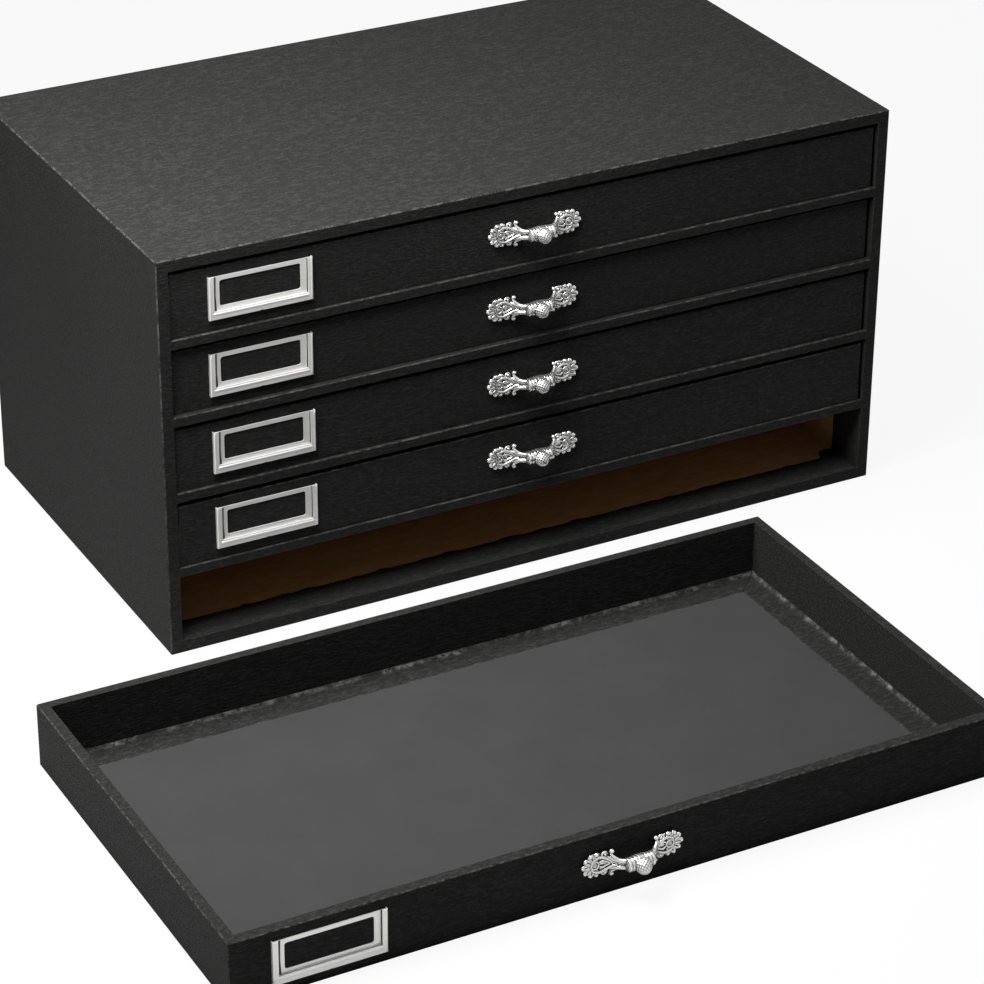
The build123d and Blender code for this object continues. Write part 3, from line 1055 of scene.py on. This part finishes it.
@dataclass
class Drawer:
    """One drawer with its label holder and handle. Sizes in millimetres."""

    number: int
    nodes: dict[str, bpy.types.Object]
    finishes: Finishes
    handle: bpy.types.Mesh
    pins: bpy.types.Mesh
    slots: dict[str, Slot] = field(
        default_factory=lambda: {
            "base": Slot.BOARD, "front": Slot.BOARD, "back": Slot.BOARD, "sides": Slot.BOARD,
            "cover": Slot.PAPER, "liner": Slot.LINER, "label_holder": Slot.NICKEL, "handle": Slot.SILVER,
        }
    )
    wall: float = 6.2
    strip_top: float = 3.4
    paper_rounding: float = 0.15
    sheet_rounding: float = 0.2
    # Across a floor strip from the wall: reach, height and how pale; the high values by the wall paint a
    # highlight on the crease, those by the lining are rubbed wear.
    strip_profile: tuple[tuple[float, float, float], ...] = (
        (0.0, 2.3, 0.25), (0.35, 1.75, 1.0), (0.9, 1.2, 1.0), (1.6, 0.75, 0.6),
        (2.6, 0.4, 0.1), (4.4, 0.25, 0.0), (7.0, 0.22, 0.0), (10.0, 0.22, 0.0),
        (13.0, 0.22, 0.0), (15.4, 0.24, 0.0), (16.7, 0.26, 0.35), (17.1, 0.1, 0.3),
    )

    @property
    def body(self) -> str:
        """The body that the drawer's pieces move with."""
        return f"drawer_{self.number}"

    def dress(self) -> None:
        """Give each piece its finish, and each replaced one its finer form."""
        for piece, slot in self.slots.items():
            coat(self.nodes[f"{self.body}_{piece}"], self.finishes.of(slot))
        self.soften("cover", self.paper_rounding, 2)
        self.soften("label_holder", self.sheet_rounding, 3)
        self.roll_lips()
        self.floor_strip()
        self.fix_handle()
        log.info("drawer %d dressed", self.number)

    def soften(self, part: str, rounding: float, steps: int) -> None:
        """Replace a node by its own form with rounded edges.

        Args:
            part: The end of the node's name.
            rounding: How far a rounding reaches.
            steps: How many flats it has.
        """
        node, slot = f"{self.body}_{part}", self.slots[part]
        mesh = softened(self.nodes[node], node + "_skin", rounding, steps)
        piece = made(mesh, node + "_skin", Vector(), self.body)
        coat(piece, self.finishes.of(slot))
        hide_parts(node)

    def floor_strip(self) -> None:
        """Lay the wrinkled strips of paper between the walls and the lining, creased up at the walls, with a
        painted highlight along the crease.
        """
        low, high = (corner * 1000.0 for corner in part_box(f"{self.body}_cover"))
        left, right = low.x + self.wall, high.x - self.wall
        front, back, level = low.y + self.wall, high.y - self.wall, low.z + self.strip_top
        outline = ((left, front), (right, front), (right, back), (left, back))
        corners = [Vector((x, y, level)) for x, y in outline]
        shape, paper = bmesh.new(), WrinkledPaper()
        for index, start in enumerate(corners):
            stop = corners[(index + 1) % 4]
            inward = Vector((0, 0, 1)).cross((stop - start).normalized())
            paper.strip(shape, start, stop, inward, list(self.strip_profile), (1.0, 1.0))
        name = f"{self.body}_floor_strip"
        piece = made(WrinkledPaper.finished(shape, name), name, Vector(), self.body)
        coat(piece, self.finishes.of(Slot.PAPER))

    def roll_lips(self) -> None:
        """Roll the label holder's lips over, and lay dark strips of painted shadow in the slots behind its
        side lips.
        """
        low, high = (corner * 1000.0 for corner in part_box(f"{self.body}_label_holder"))
        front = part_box(f"{self.body}_cover")[0].y * 1000.0
        rolls = Millimetres()
        lower = [(low.x + 3.0, 1.6, low.z + 3.6, 0.95), (high.x - 3.0, 1.6, low.z + 3.6, 0.95)]
        rolls.stroke(lower, sides=20)
        for edge, way in ((low.x, 1), (high.x, -1)):
            side = [(edge + way * 0.85, 1.7, low.z + 1.2, 0.7), (edge + way * 0.85, 1.75, high.z - 0.9, 0.7)]
            rolls.stroke(side, sides=16)
        self.metal(rolls, "rolled_lips", front, 0.0)
        # Dark strips on the plate along the inner edges of the side lips: a painted shadow of the lips in the
        # card slots, wide on the left and thin on the right.
        slots = Millimetres()
        for edge, way, wide in ((low.x + 3.1, 1, 2.1), (high.x - 3.1, -1, 0.25)):
            rings = []
            levels = ((low.z + 5.0, wide), (low.z + 14.0, wide * 0.75), (high.z - 0.8, wide * 0.9))
            for height, reach in levels:
                near, far = edge - way * 0.3, edge + way * reach
                section = ((near, -0.5), (far, -0.5), (far, -0.68), (near, -0.74))
                rings.append([Vector((x, y, height)) for x, y in section])
            slots.rings(rings)
        self.metal(slots, "slot_shade", front, 1.0)

    def metal(self, form: Millimetres, part: str, front: float, recess: float) -> None:
        """Put a small form of the label holder's metal on the drawer.

        Args:
            form: The form, with its heights counted from the drawer's front.
            part: The end of the piece's name.
            front: Where the drawer's front is, in millimetres.
            recess: How far its colour goes towards the dark tarnish colour; 1 on the slot pieces, where it
                paints their shadow.
        """
        bmesh.ops.recalc_face_normals(form.mesh, faces=form.mesh.faces)
        # Every point gets the same recess value; 1 on the slot pieces paints their shadow.
        darkening = form.mesh.verts.layers.float.new("recess")
        for vertex in form.mesh.verts:
            vertex[darkening] = recess
        name = f"{self.body}_{part}"
        mesh = bpy.data.meshes.new(name)
        form.mesh.to_mesh(mesh)
        mesh.transform(Matrix.Scale(0.001, 4) @ Matrix.Translation(Vector((0, front, 0))))
        mesh.shade_smooth()
        coat(made(mesh, name, Vector(), self.body), self.finishes.of(Slot.NICKEL))

    def fix_handle(self) -> None:
        """Put the cast handle and its pins where the CAD handle is."""
        low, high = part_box(f"{self.body}_handle")
        place = Vector(((low.x + high.x) / 2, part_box(f"{self.body}_cover")[0].y, (low.z + high.z) / 2))
        cast = made(self.handle, f"{self.body}_cast_handle", place, self.body)
        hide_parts(f"{self.body}_handle")
        made(self.pins, f"{self.body}_pins", place, self.body)


@dataclass
class Viewpoint:
    """Where the photograph was taken from."""

    turn: float = 28.35  # degrees round from the front, to the left
    rise: float = 28.33  # degrees above the horizontal
    roll: float = 0.41
    distance: float = 2.126
    target: tuple[float, float, float] = (-0.0303, -0.133, 0.0557)
    focal_pixels: float = 3554.0
    sensor: float = 36.0

    def shoot(self) -> bpy.types.Object:
        """Make the camera.

        Returns:
            The camera object.
        """
        turn, rise, roll = (math.radians(angle) for angle in (self.turn, self.rise, self.roll))
        forward = Vector((math.sin(turn) * math.cos(rise), math.cos(turn) * math.cos(rise), -math.sin(rise)))
        right = Vector((math.cos(turn), -math.sin(turn), 0.0))
        up = right.cross(forward)
        across = right * math.cos(roll) + up * math.sin(roll)
        upward = up * math.cos(roll) - right * math.sin(roll)
        data = bpy.data.cameras.new("camera")
        data.sensor_width = self.sensor
        data.lens = self.sensor * self.focal_pixels / PHOTO_PIXELS
        data.clip_end = 50.0
        camera = bpy.data.objects.new("camera", data)
        rotation = Matrix((across, upward, -forward)).transposed().to_4x4()
        camera.matrix_world = Matrix.Translation(Vector(self.target) - forward * self.distance) @ rotation
        bpy.context.scene.collection.objects.link(camera)
        bpy.context.scene.camera = camera
        return camera


@dataclass(frozen=True)
class Lamp:
    """A soft square lamp: where it hangs and the side of its square in metres, and its power in watts."""

    name: str
    place: tuple[float, float, float]
    size: float
    power: float


@dataclass
class Studio:
    """The pale floor, the soft lamps and the white surroundings."""

    lamps: tuple[Lamp, ...] = (
        Lamp("key", (-0.39, -0.22, 0.80), 0.5, 20.0),
        Lamp("overhead", (0.0, 0.0, 2.4), 1.8, 5.0),
    )
    aim: tuple[float, float, float] = (-0.1, -0.2, 0.1)
    floor_half: float = 6.0
    ambient: float = 0.13
    floor_colour: tuple[float, float, float] = (0.5, 0.5, 0.5)
    floor_shown: float = 0.92  # how much of the floor the camera sees as plain white

    def floor(self) -> None:
        """Lay a pale floor that keeps the object's shadow."""
        mesh = bpy.data.meshes.new("floor")
        half = self.floor_half
        corners = [(-half, -half, 0.0), (half, -half, 0.0), (half, half, 0.0), (-half, half, 0.0)]
        mesh.from_pydata(corners, [], [(0, 1, 2, 3)])
        floor = bpy.data.objects.new("floor", mesh)
        bpy.context.scene.collection.objects.link(floor)
        shader = Shader("pale_floor", 0.9)
        shader.surface.inputs["Base Color"].default_value = (*self.floor_colour, 1.0)
        shader.surface.inputs["Specular IOR Level"].default_value = 0.1
        white = shader.nodes.new("ShaderNodeEmission")
        path = shader.nodes.new("ShaderNodeLightPath")
        shown = shader.sums("MULTIPLY", path.outputs["Is Camera Ray"], self.floor_shown)
        both = shader.nodes.new("ShaderNodeMixShader")
        shader.join(shown, both.inputs["Fac"])
        shader.join(shader.surface.outputs["BSDF"], both.inputs[1])
        shader.join(white.outputs["Emission"], both.inputs[2])
        shader.join(both.outputs["Shader"], shader.nodes["Material Output"].inputs["Surface"])
        coat(floor, shader.material)

    def surroundings(self) -> None:
        """Light the scene evenly, and show white to the camera and in the metal."""
        world = bpy.data.worlds.new("surroundings")
        bpy.context.scene.world = world
        world.use_nodes = True
        nodes, links = world.node_tree.nodes, world.node_tree.links
        background = nodes["Background"]
        background.inputs["Color"].default_value = (1.0, 1.0, 1.0, 1.0)
        path = nodes.new("ShaderNodeLightPath")
        seen = path.outputs["Is Camera Ray"]
        for kind in ("Is Glossy Ray", "Is Transmission Ray"):
            larger = nodes.new("ShaderNodeMath")
            larger.operation = "MAXIMUM"
            links.new(seen, larger.inputs[0])
            links.new(path.outputs[kind], larger.inputs[1])
            seen = larger.outputs["Value"]
        strength = nodes.new("ShaderNodeMapRange")
        strength.inputs["To Min"].default_value = self.ambient
        strength.inputs["To Max"].default_value = 1.0
        links.new(seen, strength.inputs["Value"])
        links.new(strength.outputs["Result"], background.inputs["Strength"])

    def hang(self, lamp: Lamp) -> None:
        """Hang a lamp that shines on the object.

        Args:
            lamp: The lamp.
        """
        data = bpy.data.lights.new(lamp.name, "AREA")
        data.shape = "SQUARE"
        data.size = lamp.size
        data.energy = lamp.power
        light = bpy.data.objects.new(lamp.name, data)
        light.location = lamp.place
        towards = Vector(self.aim) - Vector(lamp.place)
        light.rotation_euler = towards.to_track_quat("-Z", "Y").to_euler()
        bpy.context.scene.collection.objects.link(light)

    def build(self) -> None:
        """Put the studio together."""
        bpy.context.scene.view_settings.view_transform = "Standard"
        self.floor()
        self.surroundings()
        for lamp in self.lamps:
            self.hang(lamp)
        log.info("studio built")


def main() -> None:
    """Build everything in order."""
    logging.basicConfig(level=logging.INFO, format="%(message)s")
    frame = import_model()
    finishes = Finishes()
    cabinet = Cabinet(frame["nodes"], finishes)
    cabinet.dress()
    cabinet.torn_turn_in()
    casting = CastHandle()
    handle, pins = casting.mesh(), casting.pin_heads()
    for mesh in (handle, pins):
        mesh.materials.append(finishes.of(Slot.SILVER))
    log.info("handle cast: %d faces", len(handle.polygons))
    for number in range(1, DRAWERS + 1):
        Drawer(number, frame["nodes"], finishes, handle, pins).dress()
    Viewpoint().shoot()
    Studio().build()


if __name__ == "__main__":
    main()
